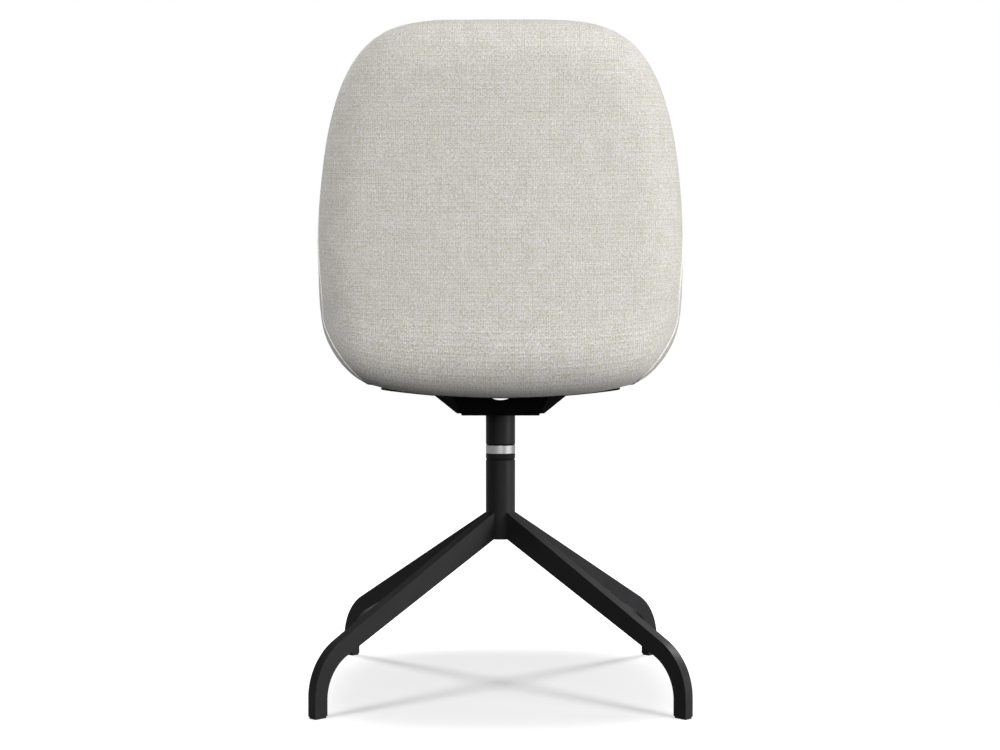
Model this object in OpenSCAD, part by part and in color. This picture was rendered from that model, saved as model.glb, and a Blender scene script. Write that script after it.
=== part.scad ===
// Swivel dining chair: an upholstered bucket shell that turns on a four-legged base.
// Millimetres, +Z up. The origin is on the floor, on the swivel axis. The sitter faces -Y.

/* [Column] */
// Outer diameter of the column's tube, ring and sleeve
column_d = 40; // [37:0.5:46]
// Wall of the lower tube
tube_wall = 2.5; // [2:0.1:3.5]
// Height of the lower tube's top above the floor
tube_top_z = 305; // [280:1:330]
// Height of the dark groove under the collar
groove_h = 2; // [1:0.5:4]
// How far the groove lies in from the tube's surface
groove_depth = 0.8; // [0.5:0.1:1.5]
// Height of the black collar
collar_h = 6.5; // [4:0.5:10]
// Running gap between the collar and the steel ring
turning_gap = 0.3; // [0.2:0.05:0.5]
// Height of the steel ring
ring_h = 11.2; // [8:0.2:16]
// Height of the dark spacer over the ring
spacer_h = 1.5; // [1:0.1:3]
// Height of the upper sleeve
sleeve_h = 40.2; // [25:0.2:60]
// Diameter of the steel spindle
spindle_d = 25; // [20:0.5:28]
// Radial clearance of the spindle in its bushes
spindle_clearance = 0.05; // [0.02:0.01:0.1]
// How far the spindle stands up into the pan, over its floor
spindle_head_h = 3; // [1:0.5:6]
// Depth of each bush inside the tube
bush_len = 30; // [20:1:35]
// Height of the lower bush's underside above the tube's lower end
lower_bush_rise = 16; // [15:0.5:22]
// Thickness of the thrust washer under the ring
thrust_t = 1.5; // [1:0.1:2.5]
// Width of the thrust washer, from its bore to its rim
thrust_w = 4.5; // [3:0.1:5]
// Thickness of the retaining washer under the lower bush
washer_t = 1.6; // [1:0.1:2.5]
// Thickness of the circlip on the spindle's lower end
circlip_t = 1.2; // [0.8:0.1:1.8]
// Depth of the circlip's groove in the spindle
circlip_depth = 0.8; // [0.5:0.1:1.2]
// Height of the plug in the tube's lower end
cap_h = 7; // [4:0.5:9]
// Wall of that plug
cap_wall = 2; // [1.5:0.1:2.5]

/* [Legs] */
// From the swivel axis to the outer face of a foot
leg_reach = 326; // [300:1:350]
// Thickness of a leg
leg_t = 14; // [10:0.5:18]
// Depth of a foot, from its inner to its outer face
foot_depth = 19; // [16:0.5:24]
// Outer radius of the bend over a foot
bend_r = 75; // [65:1:85]
// Height of that bend's inner centre above the floor
bend_z = 22.2; // [18:0.2:32]
// Height of the bend's outer centre over its inner one, which deepens the leg towards the column
bend_rise = 3.3; // [0:0.1:6]
// Fall of a leg's upper edge, in degrees
leg_top_fall = 28.1; // [27:0.1:29.5]
// Fall of a leg's lower edge, in degrees
leg_bottom_fall = 26.1; // [25:0.1:26.8]

/* [Glides] */
// Height of the glide under a foot
glide_h = 2.5; // [2:0.5:5]
// How far the glide lies in from the foot's faces
glide_inset = 1; // [0.5:0.1:2]
// Diameter of the glide's stem
stem_d = 6; // [4:0.5:8]
// Length of the glide's stem
stem_len = 14; // [8:1:18]
// Radial clearance of the stem in the foot
stem_clearance = 0.1; // [0.05:0.01:0.2]

/* [Bracket and plate] */
// Half width of the pan's floor, side to side
floor_half_x = 58.2; // [55:0.2:62]
// Half width of the pan's mouth, side to side, at mouth_h
mouth_half_x = 90; // [83:0.5:96]
// Half width of the pan's floor, front to back
floor_half_y = 60; // [57:0.5:62]
// Half width of the pan's mouth, front to back, at mouth_h
mouth_half_y = 62; // [60.5:0.5:66]
// From the axis square to a cut corner, at the pan's floor
floor_corner = 79.8; // [77:0.2:82]
// From the axis square to a cut corner, at mouth_h
mouth_corner = 89.8; // [86:0.2:92]
// Height over the underside of the pan's floor at which the mouth's sizes hold
mouth_h = 24.8; // [23:0.2:28]
// Height of the bracket on the axis, from its sole to the seat plate
bracket_h = 23.3; // [20:0.1:26]
// Thickness of the pan's sheet, and of the sole under it
bracket_t = 2.7; // [2:0.1:3.5]
// Half width of the sole, side to side, at its underside
sole_half_x = 51.5; // [46:0.5:52]
// How much further the sole reaches to each side at its upper face
sole_spread = 1; // [0.2:0.1:1.2]
// Radius of the notch in the pan's front and rear walls
notch_r = 31; // [22:0.5:36]
// Depth of that notch
notch_depth = 4.5; // [3:0.1:6]
// Radius that the seat plate is rolled to, at its upper face
plate_r = 1088; // [950:1:1300]
// Thickness of the seat plate
plate_t = 2.5; // [2:0.1:3]
// Half width of the seat plate, side to side
plate_half_x = 157; // [147:1:167]
// From the axis to the plate's front edge
plate_front = 120; // [105:1:128]
// From the axis to the plate's rear edge
plate_rear = 98; // [94:0.5:99]
// Radius of the plate's corners
plate_corner_r = 18; // [8:1:30]

/* [Fixings] */
// From the axis to a fixing, side to side, along the plate
fixing_x = 122; // [112:1:132]
// From the plate's front or rear edge to a fixing
fixing_inset = 24; // [18:1:32]
// Diameter of a fixing screw
screw_d = 6; // [5:0.5:7]
// Radial clearance round a fixing screw
screw_clearance = 0.4; // [0.2:0.05:0.8]
// Diameter of the screw's countersunk head
head_d = 10.6; // [9.6:0.2:10.8]
// Width across the flats of the socket in the head
socket_w = 4; // [3:0.5:5]
// Depth of that socket
socket_depth = 2; // [1:0.1:2.2]
// How far the screw stands up past the tee nut
screw_past = 2; // [1:0.5:4]
// Wall of the tee nut's barrel
barrel_wall = 1; // [0.8:0.1:1.5]
// Diameter of the tee nut's flange
flange_d = 19; // [16:0.5:22]
// Thickness of the tee nut's flange
flange_t = 1.5; // [1:0.1:2]

/* [Shell] */
// Widest width of the shell
shell_w = 459; // [440:1:480]
// Length of the shell along its middle, from the front edge to the top of the back
spine_len = 865; // [845:1:885]
// Where along that length the shell is widest
widest_at = 545; // [530:1:560]
// From the swivel axis to the shell's front edge
front_reach = 283.5; // [275:0.5:295]
// Length of the seat's front stretch, which drops to the front edge
front_len = 150; // [130:1:155]
// Drop at the front edge, in degrees
front_drop = 9; // [5:0.5:12]
// Fall of the seat towards the back, in degrees
seat_tilt = 2; // [1:0.1:3]
// Where the bend between seat and back begins
bend_start = 390; // [384:1:396]
// Length of that bend
bend_len = 130; // [122:1:140]
// How much sooner the bend begins, and later it ends, along the shell's edge
bend_spread = 85; // [70:1:95]
// From the middle to where the bend begins to spread
spread_from = 110; // [100:1:120]
// Slope of the back just over the bend, in degrees
back_angle = 82; // [78:0.5:84]
// How far the back leans away by its top, in degrees
back_lean = 8; // [4:0.5:10]
// Radius of the back's hollow from side to side
back_hollow_r = 850; // [750:10:1100]
// Extra rise of the seat's sides at the edge
side_rise = 20; // [16:0.5:26]
// From the middle to where that rise begins
side_rise_from = 150; // [140:1:160]
// Depth of the upholstery under the edge's height, in the seat on the axis
under_depth = 48; // [46:0.5:54]
// The same at the front edge
front_under = 38; // [35:0.5:44]
// The same in the back
back_under = 33; // [30:0.5:38]
// Extra depth under the middle of the bend, which rounds off the shell's lower corner
corner_fill = 12; // [8:0.5:15]
// Upholstery over the edge's height, in the seat
seat_over = 17; // [14:0.5:22]
// The same in the back
back_over = 15; // [12:0.5:18]
// Width of the rounding at the outer side of the edge
edge_round = 57; // [52:1:62]
// Width of the rounding at the inner side of the edge
rim_round = 20; // [16:0.5:24]
// Thickness of the pad outside the moulded core
rear_pad_t = 8; // [6:0.5:10]
// Thickness of the moulded core
core_t = 6; // [5:0.5:8]
// Gap between the seat plate and the upholstery that lies on it
plate_gap = 0.2; // [0.1:0.05:0.5]

/* [Hidden] */
$fn = 64;
// Overrun that cuts reach past a face
cut = 5;
// Clearance between pieces that are loosely set in one another
slip = 0.1;
// Room for the core's flat facets under a tee nut
facet_room = 0.8;
// How a leg's straight edges cross its bend: the depth inside the tangent, and the degrees past it
blend_dip = 0.02;
blend_turn = 1;
// Outline powers, which square the shell's corners: for its sides, and for its ends
front_side_power = 5;
front_end_power = 4;
back_side_power = 4.5;
back_end_power = 2.3;
// Length, bend of the spine and turn of the outline that cost the mesh one facet each
facet_len = 55;
facet_bend = 11;
facet_turn = 15;
// Facets along half of the outline, and steps along the spine
half_n = 36;
spine_steps = 240;
// Step of the finely drawn outline, and of the mesh round the edge, in degrees
fine_step = 1.5;
round_step = 18;
rim_step = 30;
// Facets of the half outline that close round each end of the shell's middle line
middle_shares = [0.3, 0.76];

// From the axis to the middle of a leg's bend
bend_s = leg_reach - bend_r;

// Heights, each on top of the last
collar_z = tube_top_z + groove_h;
ring_z = collar_z + collar_h + turning_gap;
spacer_z = ring_z + ring_h;
sleeve_z = spacer_z + spacer_h;
bracket_z = sleeve_z + sleeve_h;
plate_top = bracket_z + bracket_h + plate_t;
plate_axis_z = plate_top + plate_r;
tube_bottom_z = leg_edge_z(column_d / 2, bend_z, bend_r - foot_depth, leg_bottom_fall);
lower_bush_z = tube_bottom_z + lower_bush_rise;
washer_z = lower_bush_z - slip - washer_t;
circlip_z = washer_z - slip - circlip_t;
spindle_z = circlip_z - circlip_t - circlip_depth;

tube_bore = column_d - 2 * tube_wall;
spindle_bore = spindle_d + 2 * spindle_clearance;

// A plain tube or washer standing on z = 0
module pipe(outer_d, inner_d, h) {
    difference() {
        cylinder(d = outer_d, h = h);
        translate([0, 0, -cut]) cylinder(d = inner_d, h = h + 2 * cut);
    }
}

// Column, the pieces that stand still

module lower_tube() {
    color("#26272a") translate([0, 0, tube_bottom_z])
        pipe(column_d, tube_bore, tube_top_z - tube_bottom_z);
}

// Cup-shaped plug, set flush in the tube's lower end
module tube_end_cap() {
    color("#1b1b1c") translate([0, 0, tube_bottom_z]) difference() {
        cylinder(d = tube_bore, h = cap_h);
        translate([0, 0, cap_wall]) cylinder(d = tube_bore - 2 * cap_wall, h = cap_h);
    }
}

// Flanged bush: the collar that shows, the groove under it, and the barrel inside the tube
module upper_bush() {
    color("#161617") difference() {
        union() {
            translate([0, 0, collar_z]) cylinder(d = column_d, h = collar_h);
            translate([0, 0, tube_top_z]) cylinder(d = column_d - 2 * groove_depth, h = groove_h);
            translate([0, 0, tube_top_z - bush_len]) cylinder(d = tube_bore, h = bush_len);
        }
        translate([0, 0, tube_top_z - bush_len - cut])
            cylinder(d = spindle_bore, h = bush_len + groove_h + collar_h + 2 * cut);
    }
}

module lower_bush() {
    color("#161617") translate([0, 0, lower_bush_z]) pipe(tube_bore, spindle_bore, bush_len);
}

// Legs

// Height of a leg's edge at distance s from the axis: a line that falls at an angle and would
// touch a circle of radius r about the bend's centre, which lies at height z
function leg_edge_z(s, z, r, fall) = z + r / cos(fall) + (bend_s - s) * tan(fall);

// Point of a bend of radius r where an edge that falls at that angle runs into it
function bend_point(z, r, fall) = [bend_s + r * sin(fall), z + r * cos(fall)];

// The leg's side view, from the swivel axis outwards and from the glide upwards: a beam that
// tapers, a bend whose outer curve lies higher than its inner one, and a plumb foot. The beam's
// edges lie inside the tangents by blend_dip, and the bend runs on past them by blend_turn, so
// that they cross at clean corners.
module leg_profile() {
    inner_r = bend_r - foot_depth;
    outer_z = bend_z + bend_rise;
    far = 2 * bend_r;
    last = leg_bottom_fall - blend_turn;
    top_r = bend_r - blend_dip;
    bottom_r = inner_r + blend_dip;
    polygon([
        [0, leg_edge_z(0, bend_z, bottom_r, leg_bottom_fall)],
        bend_point(bend_z, bottom_r, leg_bottom_fall), bend_point(outer_z, top_r, leg_top_fall),
        [0, leg_edge_z(0, outer_z, top_r, leg_top_fall)]
    ]);
    translate([bend_s, bend_z]) intersection() {
        difference() {
            translate([0, bend_rise]) circle(r = bend_r);
            circle(r = inner_r);
        }
        polygon([
            [0, 0], [inner_r, 0], [far, (far - inner_r) * bend_rise / foot_depth],
            [far, far], [far * sin(last), far * cos(last)]
        ]);
    }
    polygon([
        [bend_s + inner_r, glide_h], [leg_reach, glide_h],
        [leg_reach, outer_z], [bend_s + inner_r, bend_z]
    ]);
}

// Turns what is drawn for the foot on +X to the foot of one leg
module at_leg(k) {
    rotate([0, 0, 45 + 90 * k]) children();
}

module leg(k) {
    color("#232427") at_leg(k) difference() {
        rotate([90, 0, 0]) linear_extrude(height = leg_t, center = true) leg_profile();
        cylinder(d = column_d, h = plate_top);
        translate([leg_reach - foot_depth / 2, 0, 0])
            cylinder(d = stem_d + 2 * stem_clearance, h = glide_h + stem_len + stem_clearance);
    }
}

module glide(k) {
    color("#141414") at_leg(k) translate([leg_reach - foot_depth / 2, 0, 0]) {
        translate([glide_inset - foot_depth / 2, glide_inset - leg_t / 2, 0])
            cube([foot_depth - 2 * glide_inset, leg_t - 2 * glide_inset, glide_h]);
        cylinder(d = stem_d, h = glide_h + stem_len);
    }
}

// Column, the pieces that turn

module spindle() {
    color("#9a9b9c") difference() {
        translate([0, 0, spindle_z])
            cylinder(d = spindle_d, h = bracket_z + 2 * bracket_t + spindle_head_h - spindle_z);
        translate([0, 0, circlip_z - slip / 2])
            pipe(spindle_d + cut, spindle_d - 2 * circlip_depth, circlip_t + slip);
    }
}

// Lies on the collar, in a recess of the ring
module thrust_washer() {
    color("#d8d4c6") translate([0, 0, collar_z + collar_h + slip])
        pipe(spindle_bore + 2 * thrust_w, spindle_bore, thrust_t);
}

module swivel_ring() {
    color("#a3a19d") translate([0, 0, ring_z]) difference() {
        pipe(column_d, spindle_d, ring_h);
        translate([0, 0, -cut])
            cylinder(d = spindle_bore + 2 * (thrust_w + slip), h = cut + thrust_t - turning_gap + 2 * slip);
    }
}

module spacer_washer() {
    color("#101010") translate([0, 0, spacer_z]) pipe(column_d - 2 * groove_depth, spindle_d, spacer_h);
}

module upper_sleeve() {
    color("#26272a") translate([0, 0, sleeve_z]) pipe(column_d, spindle_d, sleeve_h);
}

module retaining_washer() {
    color("#8d8e90") translate([0, 0, washer_z])
        pipe(tube_bore - 2 * tube_wall, spindle_bore, washer_t);
}

// Snap ring: an open ring in the spindle's groove
module circlip() {
    color("#4a4b4d") translate([0, 0, circlip_z]) difference() {
        pipe(spindle_d + 2 * tube_wall, spindle_d - 2 * circlip_depth, circlip_t);
        translate([0, -circlip_t, -cut]) cube([column_d, 2 * circlip_t, 2 * cut + circlip_t]);
    }
}

// Bracket and plate

// A bar along Y whose sides spread from half width low at z = 0 to high at mouth_h. With a
// sheet it is the space inside walls of that thickness, drawn from the floor's upper face.
module spread_bar(low, high, sheet) {
    top = bracket_h + 2 * cut;
    slope = (high - low) / mouth_h;
    foot = low + sheet * (slope - sqrt(1 + slope * slope));
    head = foot + slope * top;
    rotate([90, 0, 0]) linear_extrude(height = 2 * shell_w, center = true)
        polygon([[-foot, 0], [foot, 0], [head, top], [-head, top]]);
}

// The pan's outer form, or with a sheet the form inside its walls
module pan_form(sheet) {
    intersection() {
        spread_bar(floor_half_x, mouth_half_x, sheet);
        rotate([0, 0, 90]) spread_bar(floor_half_y, mouth_half_y, sheet);
        rotate([0, 0, 45]) spread_bar(floor_corner, mouth_corner, sheet);
        rotate([0, 0, -45]) spread_bar(floor_corner, mouth_corner, sheet);
    }
}

// A bar of round section along Y, about the axis that the seat plate is rolled to
module roll(r) {
    translate([0, 0, plate_axis_z]) rotate([90, 0, 0])
        cylinder(r = r, h = 2 * shell_w, center = true, $fn = 256);
}

// Flat sole under the pan, as deep as its floor
module sole() {
    rotate([90, 0, 0]) linear_extrude(height = 2 * floor_half_y, center = true) polygon([
        [-sole_half_x, 0], [sole_half_x, 0],
        [sole_half_x + sole_spread, bracket_t], [-sole_half_x - sole_spread, bracket_t]
    ]);
}

// Pressed pan on its sole, open at the top, its rim cut to the plate's curve
module seat_bracket() {
    color("#050505") difference() {
        translate([0, 0, bracket_z]) difference() {
            union() {
                sole();
                translate([0, 0, bracket_t]) pan_form(0);
            }
            translate([0, 0, 2 * bracket_t]) pan_form(bracket_t);
            translate([0, 0, -cut]) cylinder(d = spindle_d, h = 2 * (cut + bracket_t));
        }
        roll(plate_r + plate_t);
        translate([0, 0, bracket_z + bracket_h - notch_depth + notch_r]) rotate([90, 0, 0])
            cylinder(r = notch_r, h = 2 * shell_w, center = true);
    }
}

// The plate's outline seen from above, with round corners
module plate_outline() {
    inner_x = plate_half_x - plate_corner_r;
    front_y = plate_corner_r - plate_front;
    rear_y = plate_rear - plate_corner_r;
    translate([-inner_x, -plate_front]) square([2 * inner_x, plate_front + plate_rear]);
    translate([-plate_half_x, front_y]) square([2 * plate_half_x, rear_y - front_y]);
    for (x = [-inner_x, inner_x], y = [front_y, rear_y]) translate([x, y]) circle(r = plate_corner_r);
}

module seat_plate() {
    color("#1d1e20") difference() {
        intersection() {
            difference() {
                roll(plate_r + plate_t);
                roll(plate_r);
            }
            translate([0, 0, bracket_z]) linear_extrude(height = plate_half_x) plate_outline();
        }
        at_fixings() {
            translate([0, 0, -cut]) cylinder(d = screw_d + 2 * screw_clearance, h = 2 * cut);
            translate([0, 0, -plate_t - cut])
                cylinder(r1 = head_d / 2 + slip + cut, r2 = screw_d / 2, h = sink_depth + slip + cut);
        }
    }
}

// Fixings

// Repeats what is drawn at the plate's upper face at its four fixings, square to the plate
module at_fixings() {
    turn = fixing_x / plate_r * 180 / PI;
    for (side = [-1, 1], y = [fixing_inset - plate_front, plate_rear - fixing_inset])
        translate([0, y, plate_axis_z]) rotate([0, -side * turn, 0]) translate([0, 0, -plate_r]) children();
}

sink_depth = (head_d - screw_d) / 2;
nut_z = plate_gap + rear_pad_t + slip;
flange_z = nut_z + core_t + facet_room;
screw_top = flange_z + flange_t + screw_past;

// Countersunk screws, up through the plate into the tee nuts
module plate_screws() {
    color("#3a3b3d") at_fixings() translate([0, 0, -plate_t]) difference() {
        union() {
            cylinder(d1 = head_d, d2 = screw_d, h = sink_depth);
            cylinder(d = screw_d, h = plate_t + screw_top);
        }
        translate([0, 0, -cut]) cylinder(d = socket_w / cos(30), h = cut + socket_depth, $fn = 6);
    }
}

module tee_nuts() {
    color("#b9b6ab") at_fixings() difference() {
        union() {
            translate([0, 0, nut_z]) cylinder(d = screw_d + 2 * barrel_wall, h = flange_z - nut_z);
            translate([0, 0, flange_z]) cylinder(d = flange_d, h = flange_t);
        }
        cylinder(d = screw_d, h = screw_top);
    }
}

// Shell
// Its middle line, the spine, runs from the front edge through the seat and the bend and up the
// back. A point of the shell is given by x, its distance b along the spine, and its lift off the
// surface that holds the shell's edge, towards the sitter.

function smooth(x) = let (t = min(1, max(0, x))) t * t * (3 - 2 * t);
function mix(p, q, s) = p + (q - p) * s;
function bend_share(b, spread) = smooth((b - bend_start + spread) / (bend_len + 2 * spread));
function back_share(b) = bend_share(b, 0);

// Slope at b, in degrees, of a spine whose bend is spread by so much at both ends
function slope_at(b, spread) =
    -seat_tilt
    + (front_drop + seat_tilt) * (1 - smooth(b / front_len))
    + (back_angle + seat_tilt) * bend_share(b, spread)
    - back_lean * smooth((b - bend_start - bend_len) / (spine_len - bend_start - bend_len));

// Such a spine's y and z by b, summed in short steps from its front end
spine_step = spine_len / spine_steps;
function spine_y_table(spread) = [
    for (i = 0, y = -front_reach; i <= spine_steps;
         y = y + spine_step * cos(slope_at((i + 0.5) * spine_step, spread)), i = i + 1)
        [i * spine_step, y]
];
function spine_z_table(spread) = [
    for (i = 0, z = 0; i <= spine_steps;
         z = z + spine_step * sin(slope_at((i + 0.5) * spine_step, spread)), i = i + 1)
        [i * spine_step, z]
];
middle_y = spine_y_table(0);
middle_z = spine_z_table(0);
side_y = spine_y_table(bend_spread);
side_z = spine_z_table(bend_spread);
axis_b = lookup(0, [for (p = middle_y) [p[1], p[0]]]);
spine_z_shift = plate_top + plate_gap + under_depth - lookup(axis_b, middle_z);
side_y_shift = middle_y[spine_steps][1] - side_y[spine_steps][1];
side_z_shift = middle_z[spine_steps][1] - side_z[spine_steps][1];

// Share of the way from there to the edge, squared
function side_share(x, from) = pow(max(0, abs(x) - from) / (shell_w / 2 - from), 2);

// The spine under x: towards the edge it takes the spread bend, brought to the same ends
function spine_angle(x, b) =
    mix(slope_at(b, 0), slope_at(b, bend_spread), side_share(x, spread_from));
function spine_y(x, b) =
    mix(lookup(b, middle_y), lookup(b, side_y) + side_y_shift * bend_share(b, bend_spread),
        side_share(x, spread_from));
function spine_z(x, b) = spine_z_shift +
    mix(lookup(b, middle_z), lookup(b, side_z) + side_z_shift * bend_share(b, bend_spread),
        side_share(x, spread_from));

// Rise of the edge's surface from the middle to x: the rolled plate's curve in the seat, with
// raised sides, and the back's own hollow
function hollow(x, b) =
    let (s = back_share(b))
    x * x / 2 * mix(1 / plate_r, 1 / back_hollow_r, s) + side_rise * (1 - s) * side_share(x, side_rise_from);

// Depth of the upholstery below the edge's surface: level on the plate, less at both ends, and
// filled out under the bend
function level_depth(b) = (spine_z(0, b) - plate_top - plate_gap) / cos(slope_at(b, 0));
function depth(b) =
    let (s = back_share(b))
    mix(mix(front_under, level_depth(min(b, bend_start + bend_len / 4)), smooth(b / front_len)),
        back_under, s)
    + corner_fill * pow(4 * s * (1 - s), 2);
function height(b) = mix(seat_over, back_over, back_share(b));

// Quarter-ellipse share of full depth at distance e from the edge
function round_share(e, width) = let (u = min(1, max(0, e / width))) sqrt(1 - (1 - u) * (1 - u));

// Half outline, spread flat, by the direction in which it is seen from its widest place: -90
// is the middle of the front edge, 0 the side and 90 the middle of the top
function reach_share(c, s, n, m, low, high, k) =
    let (r = (low + high) / 2)
    k == 0 ? r : pow(r * c, n) + pow(r * s, m) < 1
        ? reach_share(c, s, n, m, r, high, k - 1) : reach_share(c, s, n, m, low, r, k - 1);
function outline(turn) =
    let (c = max(0, cos(turn)), s = abs(sin(turn)), front = turn < 0,
         r = reach_share(c, s, front ? front_side_power : back_side_power,
                         front ? front_end_power : back_end_power, 0, 2, 30))
    [shell_w / 2 * r * c, widest_at + (front ? -widest_at : spine_len - widest_at) * r * s];

// Facets are spread over the outline by equal shares of length, bend and turn
fine = [for (turn = [-90:fine_step:90]) outline(turn)];
function heading(k) = let (i = min(k, len(fine) - 2), d = fine[i + 1] - fine[i]) atan2(d[1], d[0]);
efforts = [
    for (k = [0:len(fine) - 2])
        norm(fine[k + 1] - fine[k]) / facet_len
        + abs(slope_at(fine[k + 1][1], 0) - slope_at(fine[k][1], 0)) / facet_bend
        + abs(heading(k + 1) - heading(k)) / facet_turn
];
effort_table = [
    for (k = 0, sum = 0; k < len(fine); sum = sum + (k < len(efforts) ? efforts[k] : 0), k = k + 1)
        [sum, -90 + k * fine_step]
];
turns = [for (i = [0:half_n]) lookup(i / half_n * effort_table[len(fine) - 1][0], effort_table)];
edge = [for (turn = turns) outline(turn)];
inward = [
    for (turn = turns)
        let (d = outline(min(90, turn + fine_step)) - outline(max(-90, turn - fine_step)))
        [-d[1], d[0]] / norm(d)
];

// Rings of the mesh run round the outline: in from the edge by e, then pulled to the middle
// line by the share pull. side is -1 under and 1 over the edge's surface, inset is the distance
// in from the outer skin.
first_middle = round(middle_shares[0] * half_n);
last_middle = round(middle_shares[1] * half_n);
function half_index(j) = let (i = j % (2 * half_n)) i <= half_n ? i : 2 * half_n - i;
function middle_index(j) = min(max(half_index(j), first_middle), last_middle);
function side_sign(j) = let (i = j % (2 * half_n)) i == 0 || i == half_n ? 0 : i < half_n ? 1 : -1;

function ring_point(ring, j) =
    let (e = ring[0], pull = ring[1], side = ring[2], inset = ring[3],
         i = half_index(j),
         q = edge[i] + e * inward[i],
         x = side_sign(j) * mix(q[0], 0, pull),
         b = mix(q[1], edge[middle_index(j)][1], pull),
         lift = hollow(x, b) + (side < 0
             ? -(depth(b) - inset) * round_share(e - inset, edge_round - inset)
             : height(b) * round_share(e, rim_round)),
         a = spine_angle(x, b))
    [x, spine_y(x, b) - lift * sin(a), spine_z(x, b) + lift * cos(a)];

middle_rings_shares = [1, 2 / 3, 1 / 3];
function under_rings(inset) = concat(
    [for (s = middle_rings_shares) [edge_round, s, -1, inset]],
    [for (a = [90:-round_step:0]) [inset + (edge_round - inset) * (1 - cos(a)), 0, -1, inset]]);
over_rings = concat(
    [for (s = middle_rings_shares) [edge_round, s, 1, 0]],
    [[edge_round, 0, 1, 0]],
    [for (a = [90:-rim_step:0]) [rim_round * (1 - cos(a)), 0, 1, 0]]);
function reversed(list) = [for (i = [len(list) - 1:-1:0]) list[i]];

// A closed skin over a stack of rings, whose first and last rings lie on the middle line
module ring_stack(rings) {
    last = len(rings) - 1;
    middle_n = last_middle - first_middle + 1;
    round_n = 2 * half_n;
    points = concat(
        [for (i = [first_middle:last_middle]) ring_point(rings[0], i)],
        [for (k = [1:last - 1], j = [0:round_n - 1]) ring_point(rings[k], j)],
        [for (i = [first_middle:last_middle]) ring_point(rings[last], i)]);
    function index(k, j) =
        k == 0 ? middle_index(j) - first_middle :
        k == last ? middle_n + (last - 1) * round_n + middle_index(j) - first_middle :
        middle_n + (k - 1) * round_n + j % round_n;
    function spread(k) = -rings[k][0] - rings[k][1] * shell_w;
    triangles = [
        for (k = [0:last - 1], j = [0:round_n - 1])
            let (p = index(k, j), q = index(k, j + 1), r = index(k + 1, j + 1), s = index(k + 1, j),
                 outwards = spread(k + 1) > spread(k))
            for (t = outwards == (j < half_n) ? [[r, q, p], [s, r, p]] : [[s, q, p], [s, r, q]])
                if (t[0] != t[1] && t[1] != t[2] && t[2] != t[0]) t
    ];
    polyhedron(points = points, faces = triangles, convexity = 6);
}

// Holes through the rear pad and the core for the tee nuts' barrels
module barrel_holes() {
    at_fixings() translate([0, 0, -cut])
        cylinder(d = screw_d + 2 * (barrel_wall + slip), h = flange_z + 2 * cut);
}

// Round seats, from that height upwards, that let the tee nuts' flanges lie square to the plate
module flange_seats(from) {
    at_fixings() translate([0, 0, from]) cylinder(d = flange_d + 2 * slip, h = screw_top + slip - from);
}

// Moulded inner shell that the plate is screwed to
module shell_core() {
    color("#8a6f4d") difference() {
        ring_stack(concat(under_rings(rear_pad_t), reversed(under_rings(rear_pad_t + core_t))));
        barrel_holes();
        flange_seats(flange_z - slip);
    }
}

// Padded cover outside the core: the outer back and the underside
module rear_pad() {
    color("#c9c6bd") difference() {
        ring_stack(concat(under_rings(0), reversed(under_rings(rear_pad_t))));
        barrel_holes();
    }
}

// Thick pad inside the core: the seat and the inner back, out to the edge all round
module front_pad() {
    color("#d2cfc7") difference() {
        ring_stack(concat(
            under_rings(rear_pad_t + core_t),
            [[rear_pad_t, 0, -1, rear_pad_t], [0, 0, -1, 0]],
            [for (k = [1:len(over_rings) - 1]) reversed(over_rings)[k]]));
        flange_seats(nut_z + core_t / 2);
    }
}

lower_tube();
tube_end_cap();
upper_bush();
lower_bush();
leg(0);  // leg_rear_left
leg(1);  // leg_rear_right
leg(2);  // leg_front_right
leg(3);  // leg_front_left
glide(0);  // glide_rear_left
glide(1);  // glide_rear_right
glide(2);  // glide_front_right
glide(3);  // glide_front_left
spindle();
thrust_washer();
retaining_washer();
circlip();
swivel_ring();
spacer_washer();
upper_sleeve();
seat_bracket();
seat_plate();
plate_screws();
tee_nuts();
shell_core();
rear_pad();
front_pad();
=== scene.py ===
"""Swivel dining chair: upholstery, finishes, floor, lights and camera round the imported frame.

The shell's formulas are in millimetres and turn to metres when a mesh is made. Its two covers and
the piping between them are grids that close on themselves round the shell's outline. The other
way, a cover's rows run inwards from the seam and the piping's go round its cord.
"""
import math
import bmesh
import bpy
import numpy as np
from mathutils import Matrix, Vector


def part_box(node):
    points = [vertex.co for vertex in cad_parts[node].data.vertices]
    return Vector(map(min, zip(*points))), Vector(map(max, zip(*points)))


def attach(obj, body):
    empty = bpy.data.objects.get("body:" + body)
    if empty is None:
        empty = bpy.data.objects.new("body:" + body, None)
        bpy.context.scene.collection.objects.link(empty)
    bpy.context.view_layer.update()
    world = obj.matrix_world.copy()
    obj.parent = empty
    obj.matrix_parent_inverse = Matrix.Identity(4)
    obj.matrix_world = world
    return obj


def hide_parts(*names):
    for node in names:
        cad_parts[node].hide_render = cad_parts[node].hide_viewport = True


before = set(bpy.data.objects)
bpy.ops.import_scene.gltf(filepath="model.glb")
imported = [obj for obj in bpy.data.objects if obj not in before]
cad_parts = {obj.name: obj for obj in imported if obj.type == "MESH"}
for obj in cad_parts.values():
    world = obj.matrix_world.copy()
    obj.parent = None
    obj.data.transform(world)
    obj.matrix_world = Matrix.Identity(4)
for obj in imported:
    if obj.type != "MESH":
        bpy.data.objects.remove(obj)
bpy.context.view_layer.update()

MM = 0.001


def box_mm(node):
    """Lowest and highest corner of a CAD node, in millimetres."""
    return [np.array(corner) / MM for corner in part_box(node)]


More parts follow.
